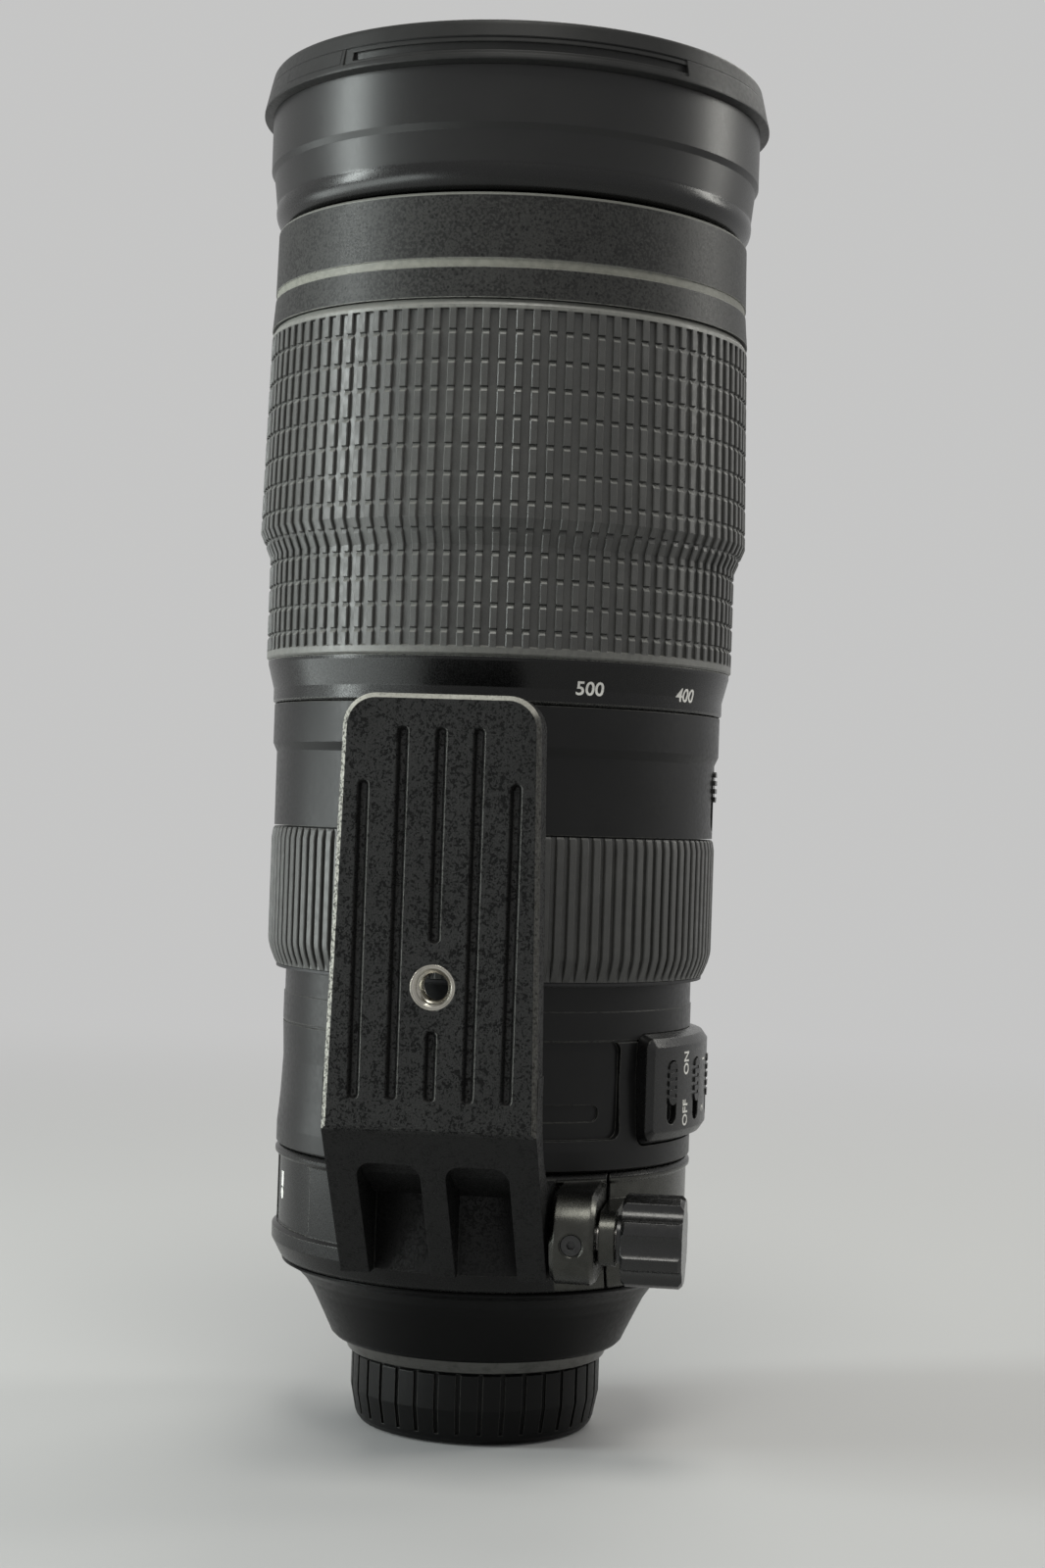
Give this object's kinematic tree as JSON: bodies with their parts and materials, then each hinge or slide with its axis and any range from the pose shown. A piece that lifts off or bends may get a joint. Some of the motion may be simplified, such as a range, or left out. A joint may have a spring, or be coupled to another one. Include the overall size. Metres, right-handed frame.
{
  "type": "camera zoom lens",
  "caption": "Telephoto zoom lens standing on its rear cap, with telescoping front, ribbed zoom and focus rings, slide switches and a turning tripod collar with foot and clamp knob.",
  "frame": {"origin": "centre of the rear cap's flat end, on which the lens stands", "axes": "+Z along the optical axis towards the subject, -Y towards the tripod foot, +X towards the clamp knob"},
  "size_m": [0.1074, 0.1257, 0.2828],
  "materials": {
    "barrel_black": "fine satin black",
    "front_black": "satin black, moulded",
    "rubber_black": "dull black rubber",
    "foot_paint": "crackle black paint",
    "gloss_black": "polished black",
    "panel_grey": "dark grey, satin to gloss",
    "slider_black": "dark, ribbed",
    "mount_metal": "turned bright metal",
    "cap_black": "dull black moulding",
    "bush_metal": "turned steel",
    "inner_metal": "black anodised",
    "brass_metal": "plain brass",
    "glass_front": "coated, clear",
    "glass_inner": "coated, clear",
    "window_clear": "clear plastic",
    "felt_black": "black felt",
    "board_green": "circuit board",
    "scale_black": "matt black"
  },
  "bodies": {
    "barrel": {"guide_tube": "inner_metal", "middle_barrel": "front_black", "rear_barrel": "barrel_black", "rear_cone": "barrel_black", "mount_flange": "mount_metal", "mount_screws": "bush_metal", "contact_block": "scale_black", "switch_panel": "panel_grey", "distance_window": "window_clear", "stabiliser_unit": "inner_metal", "stabiliser_lens": "glass_inner", "diaphragm_unit": "scale_black", "tail_cell": "inner_metal", "tail_element": "glass_inner", "main_board": "board_green", "focus_motor": "inner_metal"},
    "front_group": {"front_rim": "front_black", "front_barrel": "front_black", "front_cell": "inner_metal", "front_element": "glass_front", "front_retainer": "inner_metal", "front_trim": "front_black", "extension_tube": "barrel_black", "second_element": "glass_inner", "cam_rollers": "brass_metal"},
    "zoom_ring": {"zoom_sleeve": "front_black", "zoom_grip": "rubber_black", "cam_barrel": "inner_metal"},
    "variator_group": {"variator_cell": "inner_metal", "variator_lens": "glass_inner"},
    "zoom_lock": {"zoom_lock_slider": "slider_black"},
    "focus_ring": {"focus_sleeve": "inner_metal", "focus_grip": "rubber_black"},
    "focus_group": {"focus_cell": "inner_metal", "focus_lens": "glass_inner"},
    "scale_drum": {"distance_drum": "scale_black"},
    "collar": {"tripod_collar": "foot_paint", "collar_lining": "felt_black", "foot_bush": "bush_metal", "clamp_set_screw": "bush_metal"},
    "clamp": {"clamp_knob": "gloss_black", "clamp_screw": "bush_metal"},
    "focus_mode": {"focus_mode_slider": "slider_black"},
    "focus_limit": {"focus_limit_slider": "slider_black"},
    "stabiliser_switch": {"stabiliser_slider": "slider_black"},
    "stabiliser_mode": {"stabiliser_mode_slider": "slider_black"},
    "cap": {"rear_cap": "cap_black"}
  },
  "joints": [
    {"name": "zoom_turn", "type": "hinge", "parent": "barrel", "child": "zoom_ring", "pos_m": [0, 0, 0.2], "axis": [0, 0, 1], "range_deg": [0, 150]},
    {"name": "front_slide", "type": "slide", "parent": "barrel", "child": "front_group", "axis": [0, 0, 1], "range_m": [0, 0.0751]},
    {"name": "variator_slide", "type": "slide", "parent": "barrel", "child": "variator_group", "axis": [0, 0, 1], "range_m": [0, 0.0281]},
    {"name": "lock_slide", "type": "slide", "parent": "barrel", "child": "zoom_lock", "axis": [0, 0, 1], "range_m": [-0.0055, 0]},
    {"name": "focus_turn", "type": "hinge", "parent": "barrel", "child": "focus_ring", "pos_m": [0, 0, 0.11], "axis": [0, 0, 1], "range_deg": [0, 180]},
    {"name": "focus_slide", "type": "slide", "parent": "barrel", "child": "focus_group", "axis": [0, 0, 1], "range_m": [0, 0.0091]},
    {"name": "drum_turn", "type": "hinge", "parent": "barrel", "child": "scale_drum", "pos_m": [0, 0, 0.072], "axis": [0, 0, 1], "range_deg": [0, 54.1]},
    {"name": "collar_turn", "type": "hinge", "parent": "barrel", "child": "collar", "pos_m": [0, 0, 0.046], "axis": [0, 0, 1], "continuous": true},
    {"name": "knob_turn", "type": "hinge", "parent": "collar", "child": "clamp", "pos_m": [0.0348, -0.046, 0.0474], "axis": [1, 0, 0], "range_deg": [0, 360]},
    {"name": "focus_mode_slide", "type": "slide", "parent": "barrel", "child": "focus_mode", "axis": [0, 0, 1], "range_m": [-0.0036, 0]},
    {"name": "focus_limit_slide", "type": "slide", "parent": "barrel", "child": "focus_limit", "axis": [0, 0, 1], "range_m": [-0.0036, 0]},
    {"name": "stabiliser_slide", "type": "slide", "parent": "barrel", "child": "stabiliser_switch", "axis": [0, 0, 1], "range_m": [-0.0036, 0]},
    {"name": "stabiliser_mode_slide", "type": "slide", "parent": "barrel", "child": "stabiliser_mode", "axis": [0, 0, 1], "range_m": [-0.0036, 0]},
    {"name": "cap_turn", "type": "hinge", "parent": "barrel", "child": "cap", "pos_m": [0, 0, 0.007], "axis": [0, 0, 1], "range_deg": [-55, 0]}
  ],
  "couplings": [
    {"joint": "front_slide", "follows": "zoom_turn", "m_per_rad": 0.028648},
    {"joint": "variator_slide", "follows": "zoom_turn", "m_per_rad": 0.010695},
    {"joint": "focus_slide", "follows": "focus_turn", "m_per_rad": 0.0028648},
    {"joint": "drum_turn", "follows": "focus_turn", "ratio": 0.3}
  ]
}
